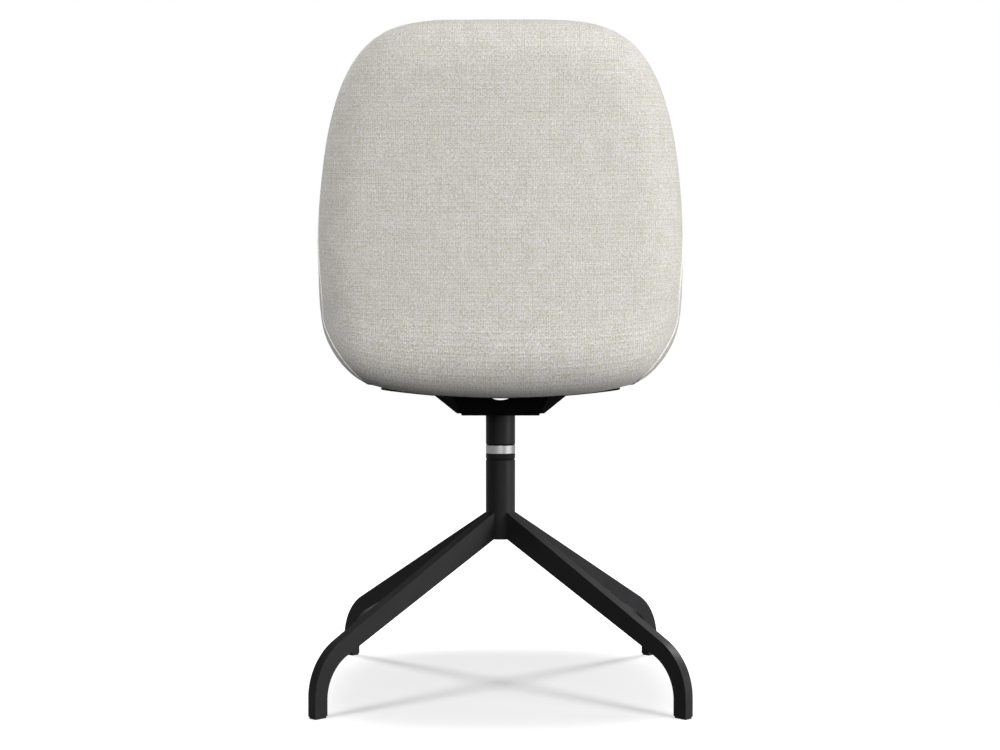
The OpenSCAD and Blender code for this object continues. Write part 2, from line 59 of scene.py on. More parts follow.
# Shell, in millimetres, degrees and powers, with the values of its CAD pieces
PLATE_T = 2.5
PLATE_TOP = box_mm("seat_plate")[0][2] + PLATE_T
PLATE_R = 1088
PLATE_GAP = 0.2
SHELL_W = 2 * box_mm("front_pad")[1][0]
SPINE_LEN = 865
WIDEST_AT = 545
FRONT_REACH = 283.5
FRONT_LEN = 150
FRONT_DROP = 9
SEAT_TILT = 2
BEND_START = 390
BEND_LEN = 130
BEND_SPREAD = 85
SPREAD_FROM = 110
BACK_ANGLE = 82
BACK_LEAN = 8
BACK_HOLLOW_R = 850
SIDE_RISE = 20
SIDE_RISE_FROM = 150
UNDER_DEPTH = 48
FRONT_UNDER = 38
BACK_UNDER = 33
CORNER_FILL = 12
SEAT_OVER = 17
BACK_OVER = 15
EDGE_ROUND = 57
RIM_ROUND = 20
FRONT_POWERS = (5, 4)
BACK_POWERS = (4.5, 2.3)

# Seam: its place on the edge's rounding in degrees, and the stretches of the shell's length over
# which it changes. It runs under the seat, comes round its rear corners and goes over to the inner
# face of the back. Then the roll of the cloth into it, its piping and the covers' walls
SEAM_UNDER = -88
SEAM_SIDE = -24
SEAM_TOP = 16
SEAM_CORNER = (427, 480)
SEAM_BACK = (505, 700)
SEAM_ROLL_W = 2.6
SEAM_ROLL_DEPTH = 2.2
PIPING_R = 1.5
PIPING_SINK = 0.5
COVER_T = 3.5

# Grids: points along the spine, directions tried round the half outline, halvings for each radius
# there, and columns of the half outline. Rows of a cover on the rounding, on the flat that follows
# it on the inner side, and from there to the middle line, which ends short of the shell's ends
SPINE_POINTS = 1723
OUTLINE_TURNS = 2881
HALVINGS = 40
HALF_COLUMNS = 230
ROUNDING_ROWS = 44
FLAT_ROWS = 8
PULL_ROWS = 26
MIDDLE_MARGIN = 150

# A normal's length counts as this at least
LEAST_LENGTH = 1e-9

# Name of the uv map of the cloth's own places
CLOTH_UV = "cloth"

# Points closer than this, in metres, are joined
MERGE_DISTANCE = 0.00002

# Rounded edges of the CAD pieces: steps, and the angle in degrees from which an edge is rounded
BEVEL_SEGMENTS = 3
BEVEL_ANGLE = 35


def smooth(x):
    """3t^2 - 2t^3 with t held from 0 to 1."""
    t = np.clip(x, 0, 1)
    return t * t * (3 - 2 * t)


def mix(p, q, share):
    """p at share 0 and q at share 1."""
    return p + (q - p) * share


def bend_share(b, spread=0):
    """0 in the seat, 1 in the back, with the bend spread by so much at both ends."""
    return smooth((b - BEND_START + spread) / (BEND_LEN + 2 * spread))


def slope_at(b, spread):
    """Slope of the spine in radians: the tilted seat, its dropped front, the bend and the lean."""
    top_share = smooth((b - BEND_START - BEND_LEN) / (SPINE_LEN - BEND_START - BEND_LEN))
    degrees = (
        -SEAT_TILT
        + (FRONT_DROP + SEAT_TILT) * (1 - smooth(b / FRONT_LEN))
        + (BACK_ANGLE + SEAT_TILT) * bend_share(b, spread)
        - BACK_LEAN * top_share
    )
    return np.radians(degrees)


SPINE_B = np.linspace(0, SPINE_LEN, SPINE_POINTS)


def spine_table(spread):
    """Running sums of the slope's cosine and sine along the spine: its y and z by b."""
    step = SPINE_B[1]
    middles = SPINE_B[:-1] + step / 2
    slopes = slope_at(middles, spread)
    y = np.concatenate([[0], np.cumsum(np.cos(slopes))]) * step - FRONT_REACH
    z = np.concatenate([[0], np.cumsum(np.sin(slopes))]) * step
    return y, z


MIDDLE_Y, MIDDLE_Z = spine_table(0)
SIDE_Y, SIDE_Z = spine_table(BEND_SPREAD)
AXIS_B = np.interp(0, MIDDLE_Y, SPINE_B)
SPINE_Z_SHIFT = PLATE_TOP + PLATE_GAP + UNDER_DEPTH - np.interp(AXIS_B, SPINE_B, MIDDLE_Z)


def side_share(x, start):
    """Share of the way from start to the shell's edge, squared."""
    return (np.maximum(0, np.abs(x) - start) / (SHELL_W / 2 - start)) ** 2


def spine_at(x, b):
    """y, z and slope of the spine under x: towards the edge it takes the spread bend."""
    share = side_share(x, SPREAD_FROM)
    turned = bend_share(b, BEND_SPREAD)
    side_y = np.interp(b, SPINE_B, SIDE_Y) + (MIDDLE_Y[-1] - SIDE_Y[-1]) * turned
    side_z = np.interp(b, SPINE_B, SIDE_Z) + (MIDDLE_Z[-1] - SIDE_Z[-1]) * turned
    y = mix(np.interp(b, SPINE_B, MIDDLE_Y), side_y, share)
    z = mix(np.interp(b, SPINE_B, MIDDLE_Z), side_z, share) + SPINE_Z_SHIFT
    return y, z, mix(slope_at(b, 0), slope_at(b, BEND_SPREAD), share)


def hollow(x, b):
    """Rise of the edge's surface at x: x^2 / 2R, and the seat's raised sides."""
    share = bend_share(b)
    across = x * x / 2 * mix(1 / PLATE_R, 1 / BACK_HOLLOW_R, share)
    return across + SIDE_RISE * (1 - share) * side_share(x, SIDE_RISE_FROM)


def depth(b):
    """Upholstery below the edge's surface: level on the plate, less at the front and in the back.
    With s the share of the bend, the bend adds CORNER_FILL * (4 s (1 - s))^2."""
    held = np.minimum(b, BEND_START + BEND_LEN / 4)
    level = (np.interp(held, SPINE_B, MIDDLE_Z) + SPINE_Z_SHIFT - PLATE_TOP - PLATE_GAP) / np.cos(
        slope_at(held, 0)
    )
    share = bend_share(b)
    fill = CORNER_FILL * (4 * share * (1 - share)) ** 2
    return mix(mix(FRONT_UNDER, level, smooth(b / FRONT_LEN)), BACK_UNDER, share) + fill


def height(b):
    """Upholstery over the edge's surface."""
    return mix(SEAT_OVER, BACK_OVER, bend_share(b))


def outline(turn):
    """Half outline spread flat, by direction in degrees: quarters of |x/a|^n + |y/c|^m = 1. The
    radius is found by halving the range that holds it."""
    c, s = np.maximum(0, np.cos(np.radians(turn))), np.abs(np.sin(np.radians(turn)))
    front = turn < 0
    n = np.where(front, FRONT_POWERS[0], BACK_POWERS[0])
    m = np.where(front, FRONT_POWERS[1], BACK_POWERS[1])
    low, high = np.zeros_like(turn), np.full_like(turn, 2.0)
    for _ in range(HALVINGS):
        r = (low + high) / 2
        inside = (r * c) ** n + (r * s) ** m < 1
        low, high = np.where(inside, r, low), np.where(inside, high, r)
    reach = np.where(front, -WIDEST_AT, SPINE_LEN - WIDEST_AT)
    return np.stack([SHELL_W / 2 * low * c, WIDEST_AT + reach * low * s], axis=-1)


def ring_columns(half_count, step_len=9.0, step_turn=5.0):
    """Points and inward directions round the whole outline, closed. Columns lie closer where the
    outline turns: each spans an equal sum of length / step_len and turn / step_turn."""
    fine = np.linspace(-90, 90, OUTLINE_TURNS)
    path = outline(fine)
    path[0, 0] = path[-1, 0] = 0
    moves = np.diff(path, axis=0)
    lengths = np.linalg.norm(moves, axis=1)
    heading = np.degrees(np.unwrap(np.arctan2(moves[:, 1], moves[:, 0])))
    effort = lengths / step_len + np.abs(np.diff(heading, append=heading[-1])) / step_turn
    total = np.concatenate([[0], np.cumsum(effort)])
    turns = np.interp(np.linspace(0, total[-1], half_count + 1), total, fine)
    edge = np.stack([np.interp(turns, fine, path[:, k]) for k in (0, 1)], axis=-1)
    middles = (fine[1:] + fine[:-1]) / 2
    tangent = np.stack([np.interp(turns, middles, moves[:, k] / lengths) for k in (0, 1)], axis=-1)
    tangent /= np.linalg.norm(tangent, axis=1)[:, None]
    tangent[0], tangent[-1] = (1, 0), (-1, 0)
    inward = np.stack([-tangent[:, 1], tangent[:, 0]], axis=-1)
    mirror = np.array([-1, 1])
    edge = np.concatenate([edge, (edge * mirror)[-2:0:-1]])
    inward = np.concatenate([inward, (inward * mirror)[-2:0:-1]])
    return edge, inward


EDGE, INWARD = ring_columns(HALF_COLUMNS)
MIDDLE_ENDS = (MIDDLE_MARGIN, SPINE_LEN - MIDDLE_MARGIN)


def skin(turn, inset, pull):
    """Points of the outer skin in millimetres, and the same spread flat. turn is the place on the
    edge's rounding: -90 is full depth under, 0 the edge, 90 full height over. inset is further
    distance in from there and pull the share of the way from there to the middle line. Arrays are
    rows by columns."""
    rad = np.radians(turn)
    width = np.where(turn < 0, EDGE_ROUND, RIM_ROUND)
    e = width * (1 - np.cos(rad)) + inset
    flat = EDGE[None] + e[..., None] * INWARD[None]
    x = flat[..., 0] * (1 - pull)
    b = mix(flat[..., 1], np.clip(EDGE[:, 1], *MIDDLE_ENDS)[None], pull)
    lift = hollow(x, b) + np.sin(rad) * np.where(turn < 0, depth(b), height(b))
    y, z, slope = spine_at(x, b)
    points = np.stack([x, y - lift * np.sin(slope), z + lift * np.cos(slope)], axis=-1)
    return points, np.stack([x, b], axis=-1)


def share_between(b, ends):
    """0 up to the first end, 1 from the second on, smooth between them."""
    return smooth((b - ends[0]) / (ends[1] - ends[0]))


def seam_turn():
    """The seam's place on the rounding, by column: from under to the side of the shell at its rear
    corner, and on to the inner side up the back."""
    b = EDGE[:, 1]
    side = mix(SEAM_UNDER, SEAM_SIDE, share_between(b, SEAM_CORNER))
    return mix(side, SEAM_TOP, share_between(b, SEAM_BACK))


def grid_normals(points, side):
    """Unit normals of a grid whose columns close. side is 1 or -1, so that they point outwards."""
    along = np.roll(points, -1, axis=1) - np.roll(points, 1, axis=1)
    across = np.gradient(points, axis=0)
    normal = side * np.cross(along, across)
    length = np.linalg.norm(normal, axis=-1, keepdims=True)
    return normal / np.maximum(length, LEAST_LENGTH)


def cover_grid(side):
    """One cover from the seam inwards. side is -1 for the outer back and underside and 1 for the
    seat and inner back. The cloth rolls in at the seam by a quarter ellipse:
    dip = depth * (1 - sqrt(1 - (1 - d / width)^2)), where d is the distance from the seam."""
    t = np.linspace(0, 1, ROUNDING_ROWS)[:, None] ** 2
    turn = mix(seam_turn()[None], 90.0 * side, t)
    # The inner side's rounding is narrower, and flat rows take it as far in as the outer one
    flat_inset = EDGE_ROUND - RIM_ROUND if side > 0 else 0
    inset_rows = np.linspace(0, flat_inset, FLAT_ROWS + 1)[1:] if side > 0 else np.zeros(0)
    pull_rows = np.linspace(0, 1, PULL_ROWS + 1)[1:]
    columns = np.ones((1, len(EDGE)))
    end = 90.0 * side * columns
    turn = np.concatenate([turn, *([end] * (len(inset_rows) + len(pull_rows)))])
    inset = np.concatenate([
        0 * turn[:ROUNDING_ROWS],
        inset_rows[:, None] * columns,
        np.full((len(pull_rows), len(EDGE)), float(flat_inset)),
    ])
    pull = np.zeros_like(turn)
    pull[-len(pull_rows):] = pull_rows[:, None]
    points, flat = skin(turn, inset, pull)
    steps = np.linalg.norm(np.diff(points, axis=0), axis=-1)
    run = np.concatenate([np.zeros((1, len(EDGE))), np.cumsum(steps, axis=0)])
    normals = grid_normals(points, side)
    normals[-1] = normals[-2]
    u = np.clip(run / SEAM_ROLL_W, 0, 1)
    dip = SEAM_ROLL_DEPTH * (1 - np.sqrt(1 - (1 - u) ** 2))
    points = points - dip[..., None] * normals
    # Cloth is measured outwards from where the rounding ends, by length along the surface
    base = ROUNDING_ROWS + len(inset_rows) - 1
    outwards = (run[base][None] - run)[:base]
    cloth = flat.copy()
    cloth[:base] = flat[base][None] - outwards[..., None] * INWARD[None]
    return points, cloth


def new_object(name, data):
    """A new object with that data, linked to the scene."""
    made = bpy.data.objects.new(name, data)
    bpy.context.scene.collection.objects.link(made)
    return made


def grid_mesh(name, points, uv, closed_rows=False, flip=False):
    """A mesh from a grid whose columns close on themselves, in metres, with its uv map. Corners of
    one face that cross the place where the columns close keep their own uv."""
    rows, columns = points.shape[:2]
    index = np.arange(rows * columns).reshape(rows, columns)
    low, high = index, np.roll(index, -1, axis=0)
    if not closed_rows:
        low, high = index[:-1], index[1:]
    quads = np.stack([low, np.roll(low, -1, axis=1), np.roll(high, -1, axis=1), high], axis=-1)
    quads = quads.reshape(-1, 4)
    if flip:
        quads = quads[:, ::-1]
    mesh = bpy.data.meshes.new(name)
    mesh.from_pydata((points.reshape(-1, 3) * MM).tolist(), [], quads.tolist())
    layer = mesh.uv_layers.new(name=CLOTH_UV)
    corner = np.zeros(len(mesh.loops), np.int32)
    mesh.loops.foreach_get("vertex_index", corner)
    layer.data.foreach_set("uv", (uv.reshape(-1, 2) * MM)[corner].astype(np.float32).ravel())
    mesh.polygons.foreach_set("use_smooth", np.ones(len(mesh.polygons), bool))
    return new_object(name, mesh)


def merge_doubles(piece):
    """Joins the two halves along the middle line and drops the faces that this flattens."""
    work = bmesh.new()
    work.from_mesh(piece.data)
    bmesh.ops.remove_doubles(work, verts=work.verts, dist=MERGE_DISTANCE)
    bmesh.ops.dissolve_degenerate(work, edges=work.edges, dist=MERGE_DISTANCE / 10)
    work.to_mesh(piece.data)
    work.free()


def make_cover(name, side, node, material):
    """A padded cover, with a wall of its own so that it is closed."""
    points, cloth = cover_grid(side)
    piece = grid_mesh(name, points, cloth, flip=side < 0)
    merge_doubles(piece)
    wall = piece.modifiers.new("wall", "SOLIDIFY")
    wall.thickness = COVER_T * MM
    wall.offset = -1
    piece.data.materials.append(material)
    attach(piece, "seat")
    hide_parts(node)
    return piece


def make_piping(name, material, sides=12):
    """A round cord along the seam: a circle carried round the outline, sunk between the covers."""
    # The seam and a row to either side of it, a degree away, for its normals
    rows = seam_turn()[None] + np.array([-1.0, 0.0, 1.0])[:, None]
    points, _ = skin(rows, 0 * rows, 0 * rows)
    normal = grid_normals(points, 1)[1]
    centre = points[1] - PIPING_SINK * normal
    along = np.roll(centre, -1, axis=0) - np.roll(centre, 1, axis=0)
    along /= np.linalg.norm(along, axis=1)[:, None]
    across = np.cross(along, normal)
    angle = np.linspace(0, 2 * np.pi, sides, endpoint=False)[:, None, None]
    tube = centre[None] + PIPING_R * (np.cos(angle) * normal[None] + np.sin(angle) * across[None])
    run = np.concatenate([[0], np.cumsum(np.linalg.norm(np.diff(centre, axis=0), axis=1))])
    around = np.linspace(0, 2 * np.pi * PIPING_R, sides, endpoint=False)
    uv = np.stack(np.broadcast_arrays(run[None, :], around[:, None]), axis=-1)
    piece = grid_mesh(name, tube, uv, closed_rows=True, flip=True)
    piece.data.materials.append(material)
    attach(piece, "seat")
    return piece


# Materials. Widths and depths are in metres

# One thread of the weave
THREAD = 0.001385

# What the weave's summed shades are divided by, so that they fit a colour ramp
SHADE_SPAN = 2.75

# The part of a noise pattern's range that most of it lies in
PATTERN_RANGE = (0.3, 0.7)

# The fine groove between the lower tube and the collar: its height over the tube's top, the width
# of its edge and the colour of the shade painted into it
GROOVE_H = 0.002
GROOVE_FADE = 0.0002
GROOVE_SHADE_COLOUR = (0.0008, 0.0008, 0.0008, 1)
GROOVE_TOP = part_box("lower_tube")[1][2] + GROOVE_H


def feed(tree, node, ins):
    """Fills a node's inputs, in order or by name: a constant, a socket that feeds it, or None to
    leave it."""
    pairs = ins.items() if isinstance(ins, dict) else enumerate(ins)
    for key, value in pairs:
        if isinstance(value, bpy.types.NodeSocket):
            tree.links.new(value, node.inputs[key])
        elif value is not None:
            node.inputs[key].default_value = value


def add(tree, kind, ins=(), **settings):
    """A new node of that kind, with its inputs as feed takes them."""
    node = tree.nodes.new("ShaderNode" + kind)
    for key, value in settings.items():
        setattr(node, key, value)
    feed(tree, node, ins)
    return node


def empty_material(name):
    """A material without nodes, and its tree."""
    material = bpy.data.materials.new(name)
    material.use_nodes = True
    material.node_tree.nodes.clear()
    return material, material.node_tree


def new_material(name):
    """A material with its principled shader: the material, its tree and the shader."""
    material, tree = empty_material(name)
    shader = add(tree, "BsdfPrincipled")
    add(tree, "OutputMaterial", {"Surface": shader.outputs[0]})
    return material, tree, shader


def math_node(tree, operation, a, b=None):
    return add(tree, "Math", (a, b), operation=operation).outputs[0]


def noise(tree, vector, scale, detail=2.0, roughness=0.5, stretch=(1, 1, 1)):
    """Noise of scale cells per unit of vector. A stretch below 1 draws it out along that axis."""
    placed = add(tree, "Mapping", {"Vector": vector, "Scale": stretch}).outputs[0]
    ins = {"Vector": placed, "Scale": scale, "Detail": detail, "Roughness": roughness}
    return add(tree, "TexNoise", ins).outputs[0]


def ramp(tree, factor, stops):
    """A colour ramp with (position, (r, g, b)) stops."""
    made = add(tree, "ValToRGB", (factor,))
    points = made.color_ramp.elements
    while len(points) < len(stops):
        points.new(0.5)
    for point, (position, colour) in zip(points, stops):
        point.position = position
        point.color = (*colour, 1)
    return made.outputs[0]


def linear(*levels):
    """Linear colour from 0-255 display levels."""
    share = np.array(levels) / 255
    return tuple(np.where(share <= 0.04045, share / 12.92, ((share + 0.055) / 1.055) ** 2.4))


def mix_colour(tree, factor, a, b, blend="MIX"):
    ins = {0: factor, 6: a, 7: b}
    return add(tree, "Mix", ins, data_type="RGBA", blend_type=blend).outputs[2]


def mix_value(tree, factor, a, b):
    return add(tree, "Mix", {0: factor, 2: a, 3: b}, data_type="FLOAT").outputs[0]


def object_place(tree):
    """Place on the piece itself, so that a pattern moves with its piece."""
    return add(tree, "TexCoord").outputs["Object"]


def tinted(tree, pattern, colour, low, high):
    """The colour, made darker and lighter by a pattern, from low to high times itself."""
    factors = zip(PATTERN_RANGE, (low, high))
    return ramp(tree, pattern, [(at, tuple(c * factor for c in colour)) for at, factor in factors])


def uneven(tree, pattern, low, high):
    """A value that goes from low to high as a pattern rises."""
    start, end = PATTERN_RANGE
    ins = {"Value": pattern, "From Min": start, "From Max": end, "To Min": low, "To Max": high}
    return add(tree, "MapRange", ins).outputs[0]


def relief(tree, height_map, strength, deep):
    """Normals of a surface with that relief. deep is the depth that a height of 1 stands for."""
    ins = {"Strength": strength, "Distance": deep, "Height": height_map}
    return add(tree, "Bump", ins).outputs[0]


def in_threads(tree, place):
    """A place on the cloth, in threads instead of metres."""
    return add(tree, "VectorMath", {0: place, "Scale": 1 / THREAD}, operation="SCALE").outputs[0]


def wave(tree, value, period):
    """Sine of that coordinate with a period of so many threads."""
    return math_node(tree, "SINE", math_node(tree, "MULTIPLY", value, 2 * math.pi / period))


def weighted_sum(tree, parts):
    """Sum of each output times its weight."""
    total = None
    for output, weight in parts:
        share = math_node(tree, "MULTIPLY", output, weight)
        total = share if total is None else math_node(tree, "ADD", total, share)
    return total


def woven_fabric(name):
    """Flecked plain weave. Lengthwise and crosswise threads show in turn, in squares one thread
    wide. Every thread carries runs of light and dark fibre along its length and a tone of its own,
    every second thread is a little paler, and every fourth crosswise one paler again. Tan fibre
    gathers in lengthwise streaks. Height in a square is |sin(pi x) * sin(pi y)|, and the light and
    dark runs add to it."""
    material, tree, shader = new_material(name)
    threads = in_threads(tree, add(tree, "UVMap", uv_map=CLOTH_UV).outputs[0])
    x, y = add(tree, "SeparateXYZ", (threads,)).outputs[:2]
    over = add(tree, "TexChecker", {"Vector": threads, "Scale": 1.0}).outputs[1]
    warp = noise(tree, threads, 1.0, roughness=0.6, stretch=(1.0, 0.28, 1.0))
    weft = noise(tree, threads, 1.0, roughness=0.6, stretch=(0.38, 1.0, 1.0))
    thread = mix_value(tree, over, warp, weft)
    column = noise(tree, threads, 1.0, detail=1.0, stretch=(1.0, 0.02, 1.0))
    row = noise(tree, threads, 1.0, detail=1.0, stretch=(0.015, 1.0, 1.0))
    shade = weighted_sum(tree, [
        (thread, 1.05),
        (noise(tree, threads, 0.9, detail=1.0), 0.9),
        (noise(tree, threads, 0.07, detail=3.0, roughness=0.6), 0.25),
        (column, 0.2),
        (row, 0.12),
        (wave(tree, x, 2), 0.05),
        (wave(tree, y, 2), 0.04),
        (wave(tree, y, 4), 0.03),
    ])
    grey = ramp(tree, math_node(tree, "MULTIPLY", shade, 1 / SHADE_SPAN), [
        (0.34, linear(160, 154, 143)),
        (0.444, linear(194, 191, 185)),
        (0.54, linear(215, 215, 214)),
        (0.65, linear(234, 235, 237)),
    ])
    streaks = noise(tree, threads, 0.45, roughness=0.6, stretch=(1.0, 0.3, 1.0))
    tan = ramp(tree, streaks, [(0.47, (1.0, 1.0, 1.0)), (0.68, (0.975, 0.95, 0.85))])
    humps = [math_node(tree, "ABSOLUTE", wave(tree, part, 2)) for part in (x, y)]
    rise = math_node(tree, "MULTIPLY", *humps)
    height_map = math_node(tree, "ADD", rise, math_node(tree, "MULTIPLY", thread, 0.8))
    feed(tree, shader, {
        "Base Color": mix_colour(tree, 1.0, grey, tan, "MULTIPLY"),
        "Roughness": 0.95,
        "Specular IOR Level": 0.15,
        "Sheen Weight": 0.25,
        "Sheen Roughness": 0.6,
        "Normal": relief(tree, height_map, 0.35, 0.00035),
    })
    return material


def piping_cloth(name):
    """The same cloth, cut on the cross and rolled over a cord, with slanting threads. Its paler
    tone is a painted highlight along the seam.
    """
    material, tree, shader = new_material(name)
    uv = add(tree, "UVMap", uv_map=CLOTH_UV).outputs[0]
    slant = (0, 0, math.radians(45))
    threads = in_threads(tree, add(tree, "Mapping", {"Vector": uv, "Rotation": slant}).outputs[0])
    tone = noise(tree, threads, 1.0, roughness=0.6, stretch=(1.0, 0.4, 1.0))
    # Paler than the cover: a painted highlight on the rolled edge
    colour = ramp(tree, tone, [(0.3, linear(212, 209, 200)), (0.6, linear(236, 234, 230))])
    feed(tree, shader, {
        "Base Color": colour,
        "Roughness": 0.9,
        "Specular IOR Level": 0.15,
        "Normal": relief(tree, tone, 0.3, 0.0002),
    })
    return material


def powder_coat(name, low, high, roughness, gleam):
    """Fine matt powder coat: a dense small grain in the surface and faint cloudiness in tone."""
    material, tree, shader = new_material(name)
    place = object_place(tree)
    grain = noise(tree, place, 2600.0, roughness=0.6)
    cloud = noise(tree, place, 35.0, detail=3.0)
    feed(tree, shader, {
        "Base Color": ramp(tree, cloud, [(0.35, low), (0.65, high)]),
        "Roughness": uneven(tree, cloud, roughness - 0.05, roughness + 0.06),
        "Specular IOR Level": gleam,
        "Normal": relief(tree, grain, 0.25, 0.00008),
    })
    return material


def moulded_plastic(name, colour, roughness=0.55, gleam=0.5, groove_top=None):
    """Moulded plastic with a fine spark-eroded grain. Below groove_top it lies in a groove, where
    painted shade darkens it."""
    material, tree, shader = new_material(name)
    place = object_place(tree)
    grain = noise(tree, place, 1800.0, detail=3.0, roughness=0.6)
    tint = tinted(tree, noise(tree, place, 60.0), colour, 0.85, 1.1)
    # Painted shade: below groove_top the colour goes to the groove's dark shade colour
    if groove_top:
        z = add(tree, "SeparateXYZ", (place,)).outputs[2]
        ins = {"Value": z, "From Min": groove_top - GROOVE_FADE, "From Max": groove_top}
        unshaded = add(tree, "MapRange", ins).outputs[0]
        tint = mix_colour(tree, unshaded, GROOVE_SHADE_COLOUR, tint)
    feed(tree, shader, {
        "Base Color": tint,
        "Roughness": roughness,
        "Specular IOR Level": gleam,
        "Normal": relief(tree, grain, 0.2, 0.0001),
    })
    return material


def turned_steel(name, colour, roughness):
    """Steel turned on a lathe: fine rings of uneven tone and depth round its axis."""
    material, tree, shader = new_material(name)
    rings = noise(tree, object_place(tree), 4000.0, roughness=0.6, stretch=(0.002, 0.002, 1.0))
    feed(tree, shader, {
        "Base Color": tinted(tree, rings, colour, 0.86, 1.08),
        "Metallic": 1,
        "Roughness": uneven(tree, rings, roughness - 0.06, roughness + 0.08),
        "Normal": relief(tree, rings, 0.15, 0.00003),
    })
    return material


def moulded_plywood(name):
    """Beech plywood: grain along the shell's length, with fine pores."""
    material, tree, shader = new_material(name)
    place = object_place(tree)
    grain = noise(tree, place, 90.0, detail=5.0, roughness=0.6, stretch=(1.0, 0.06, 0.06))
    colour = ramp(tree, grain, [(0.3, linear(176, 138, 96)), (0.7, linear(207, 172, 128))])
    feed(tree, shader, {
        "Base Color": colour,
        "Roughness": 0.6,
        "Normal": relief(tree, grain, 0.2, 0.0002),
    })
    return material


def dress(node, material, edge=0.0):
    """Gives a CAD node its material, and rounds its edges by that many millimetres."""
    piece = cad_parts[node]
    piece.data.materials.clear()
    piece.data.materials.append(material)
    if edge:
        weld = piece.modifiers.new("weld", "WELD")
        weld.merge_threshold = MERGE_DISTANCE
        round_off = piece.modifiers.new("round", "BEVEL")
        round_off.width = edge * MM
        round_off.segments = BEVEL_SEGMENTS
        round_off.limit_method = "ANGLE"
        round_off.angle_limit = math.radians(BEVEL_ANGLE)
        even = piece.modifiers.new("even", "WEIGHTED_NORMAL")
        even.keep_sharp = True


# Studio, in metres

# Camera: its lens and sensor are in millimetres, and its shift is in shares of the sensor's width
CAMERA_DISTANCE = 2.1855
CAMERA_HEIGHT = 0.421
CAMERA_LENS = 57.63
CAMERA_SENSOR = 36
CAMERA_SHIFT = (-0.0005, -0.0003)

# Floor, and the painted shadow on it under the chair, a patch where its own light is lower: half
# its width and depth, its shift along -Y in shares of its half depth, and the multiples of its size
# between which it fades to white
FLOOR_HALF = 12.0
SHADE_HALF = (0.215, 0.25)
SHADE_SHIFT = -0.07
SHADE_FADE = (0.88, 1.65)

# Where most lamps point
CHAIR_MIDDLE = (0, 0, 0.5)


def make_camera():
    """Level, squarely behind the chair."""
    data = bpy.data.cameras.new("camera")
    data.lens = CAMERA_LENS
    data.sensor_width = CAMERA_SENSOR
    data.shift_x, data.shift_y = CAMERA_SHIFT
    camera = new_object("camera", data)
    camera.location = (0, CAMERA_DISTANCE, CAMERA_HEIGHT)
    camera.rotation_euler = (math.radians(90), 0, math.radians(180))
    bpy.context.scene.camera = camera


def cad_pieces(names):
    """The CAD nodes of those names."""
    return [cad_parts[name] for name in names]


def collect(name, pieces):
    """A collection of those pieces, which says what a lamp lights or is shaded by."""
    group = bpy.data.collections.new(name)
    for piece in pieces:
        group.objects.link(piece)
    return group


def make_light(name, place, aim, size, power, lit=None):
    """A square area light at place that points at aim, with its side in metres and its power in
    watts. It lights all pieces, or those in lit."""
    data = bpy.data.lights.new(name, "AREA")
    data.shape = "SQUARE"
    data.size = size
    data.energy = power
    light = new_object(name, data)
    light.location = place
    light.rotation_euler = (Vector(aim) - Vector(place)).to_track_quat("-Z", "Y").to_euler()
    if lit:
        light.light_linking.receiver_collection = collect(name + "_lit", lit)
    return light


def seen_directly(tree):
    """1 for what the camera, gloss or glass sees, 0 for the light that is thrown on."""
    path = add(tree, "LightPath").outputs
    plain = math_node(tree, "MAXIMUM", path["Is Camera Ray"], path["Is Glossy Ray"])
    return math_node(tree, "MAXIMUM", plain, path["Is Transmission Ray"])


def make_world(level):
    """Even pale surroundings, white where the camera, gloss or glass sees them."""
    world = bpy.data.worlds.new("studio")
    bpy.context.scene.world = world
    world.use_nodes = True
    tree = world.node_tree
    tree.nodes.clear()
    soft = add(tree, "Background", {"Color": (1, 1, 1, 1), "Strength": level})
    white = add(tree, "Background", {"Color": (1, 1, 1, 1), "Strength": 1.0})
    both = add(tree, "MixShader", (seen_directly(tree), soft.outputs[0], white.outputs[0]))
    add(tree, "OutputWorld", {"Surface": both.outputs[0]})


def make_floor(tone, bounce, glow):
    """A wide pale floor that throws back little light under the chair. What sees it directly sees a
    light of its own too, of strength glow under the chair and rising to white round it, so that a
    painted shadow lies under the chair and the lamps' shadows show in it. The rise goes by d =
    (|x/a|^3 + |y/b|^3)^(1/3)."""
    sides = ((-1, -1), (1, -1), (1, 1), (-1, 1))
    mesh = bpy.data.meshes.new("floor")
    mesh.from_pydata([(x * FLOOR_HALF, y * FLOOR_HALF, 0) for x, y in sides], [], [(0, 1, 2, 3)])
    material, tree = empty_material("floor")
    scale = (1 / SHADE_HALF[0], 1 / SHADE_HALF[1], 1)
    ins = {"Vector": object_place(tree), "Location": (0, SHADE_SHIFT, 0), "Scale": scale}
    parts = add(tree, "SeparateXYZ", (add(tree, "Mapping", ins).outputs[0],)).outputs[:2]
    cubes = [math_node(tree, "POWER", math_node(tree, "ABSOLUTE", part), 3) for part in parts]
    away = math_node(tree, "POWER", math_node(tree, "ADD", *cubes), 1 / 3)
    # Painted shadow: the floor's own light is only glow in the patch under the chair
    start, end = SHADE_FADE
    ins = {"Value": away, "From Min": start, "From Max": end, "To Min": glow, "To Max": 1.0}
    rise = add(tree, "MapRange", ins, interpolation_type="SMOOTHSTEP").outputs[0]
    shine = add(tree, "Emission", {"Color": (1, 1, 1, 1), "Strength": rise})
    pale = add(tree, "BsdfDiffuse", {"Color": (tone, tone, tone, 1)})
    both = add(tree, "AddShader", (pale.outputs[0], shine.outputs[0]))
    dim = add(tree, "BsdfDiffuse", {"Color": (bounce, bounce, bounce, 1)})
    total = add(tree, "MixShader", (seen_directly(tree), dim.outputs[0], both.outputs[0]))
    add(tree, "OutputMaterial", {"Surface": total.outputs[0]})
    mesh.materials.append(material)
    floor = new_object("floor", mesh)
    return floor


# Finishes: colour, roughness and gleam

